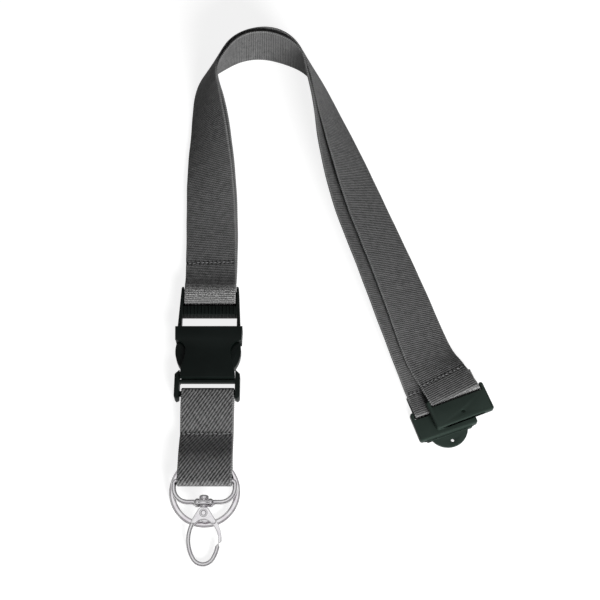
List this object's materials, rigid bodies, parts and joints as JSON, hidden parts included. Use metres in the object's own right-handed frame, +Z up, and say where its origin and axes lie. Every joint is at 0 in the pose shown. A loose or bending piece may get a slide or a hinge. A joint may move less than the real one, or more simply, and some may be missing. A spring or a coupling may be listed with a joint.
{
  "type": "neck lanyard",
  "caption": "Neck lanyard of flat webbing with a side-release buckle, a flat breakaway clasp, a split ring and a swivel snap hook, lying in a bend.",
  "frame": {"origin": "centre of the buckle housing's back face, on the surface that the lanyard lies on", "axes": "+Y runs along the left strand from the buckle towards the bend, +Z is up from the surface, +X is towards the right strand"},
  "size_m": [0.1511, 0.289, 0.0254],
  "materials": {
    "webbing": "charcoal twill webbing",
    "thread": "dark sewing thread",
    "buckle_plastic": "black moulded acetal",
    "clasp_plastic": "dark moulded acetal",
    "steel_ring": "polished nickel-plated steel",
    "nickel": "bright nickel-plated casting",
    "spring_steel": "spring steel"
  },
  "bodies": {
    "neck": {"neck_strap_front": "webbing", "neck_strap_back": "webbing", "neck_stitching": "thread", "socket_end_stitching": "thread", "tongue_end_stitching": "thread", "buckle_housing": "buckle_plastic"},
    "plug": {"buckle_plug": "buckle_plastic", "short_strap": "webbing", "short_strap_stitching": "thread"},
    "arm_left": {"plug_arm_left": "buckle_plastic"},
    "arm_right": {"plug_arm_right": "buckle_plastic"},
    "ring": {"split_ring": "steel_ring"},
    "bail": {"swivel_bail": "nickel"},
    "hook": {"swivel_post": "nickel", "hook_body": "nickel", "gate_rivet": "nickel", "gate_spring": "spring_steel"},
    "gate": {"hook_gate": "nickel"},
    "socket": {"breakaway_socket": "clasp_plastic"},
    "tongue": {"breakaway_tongue": "clasp_plastic"}
  },
  "joints": [
    {"name": "plug_slide", "type": "slide", "parent": "neck", "child": "plug", "axis": [0, -1, 0], "range_m": [0, 0.024]},
    {"name": "button_right", "type": "hinge", "parent": "plug", "child": "arm_right", "pos_m": [0.0083, -0.0126, 0.00425], "axis": [0, 0, 1], "range_deg": [0, 10], "stiffness_Nm_per_rad": 0.08},
    {"name": "button_left", "type": "hinge", "parent": "plug", "child": "arm_left", "pos_m": [-0.0083, -0.0126, 0.00425], "axis": [0, 0, -1], "range_deg": [0, 10], "stiffness_Nm_per_rad": 0.08},
    {"name": "ring_spin", "type": "hinge", "parent": "plug", "child": "ring", "pos_m": [0.0004, -0.0677, 0.00344], "axis": [0, -0.1604, 0.987], "continuous": true},
    {"name": "bail_swing", "type": "hinge", "parent": "plug", "child": "bail", "pos_m": [0.0004, -0.0637, 0.0072], "axis": [-1, 0, 0], "range_deg": [0, 120]},
    {"name": "hook_swivel", "type": "hinge", "parent": "bail", "child": "hook", "pos_m": [0.0004, -0.07352, 0.0056], "axis": [0, 0.987, 0.1604], "range_deg": [-4, 4]},
    {"name": "gate_swing", "type": "hinge", "parent": "hook", "child": "gate", "pos_m": [0.0004, -0.07811, 0.00486], "axis": [0, 0.1604, -0.987], "range_deg": [0, 20], "stiffness_Nm_per_rad": 0.02},
    {"name": "socket_tilt", "type": "hinge", "parent": "neck", "child": "socket", "pos_m": [0.11685, -0.02109, 0.006], "axis": [-0.9336, -0.3584, 0], "range_deg": [0, 90]},
    {"name": "tongue_tilt", "type": "hinge", "parent": "neck", "child": "tongue", "pos_m": [0.10953, -0.02602, 0.0019], "axis": [0.9426, 0.3338, 0], "range_deg": [0, 60]}
  ]
}
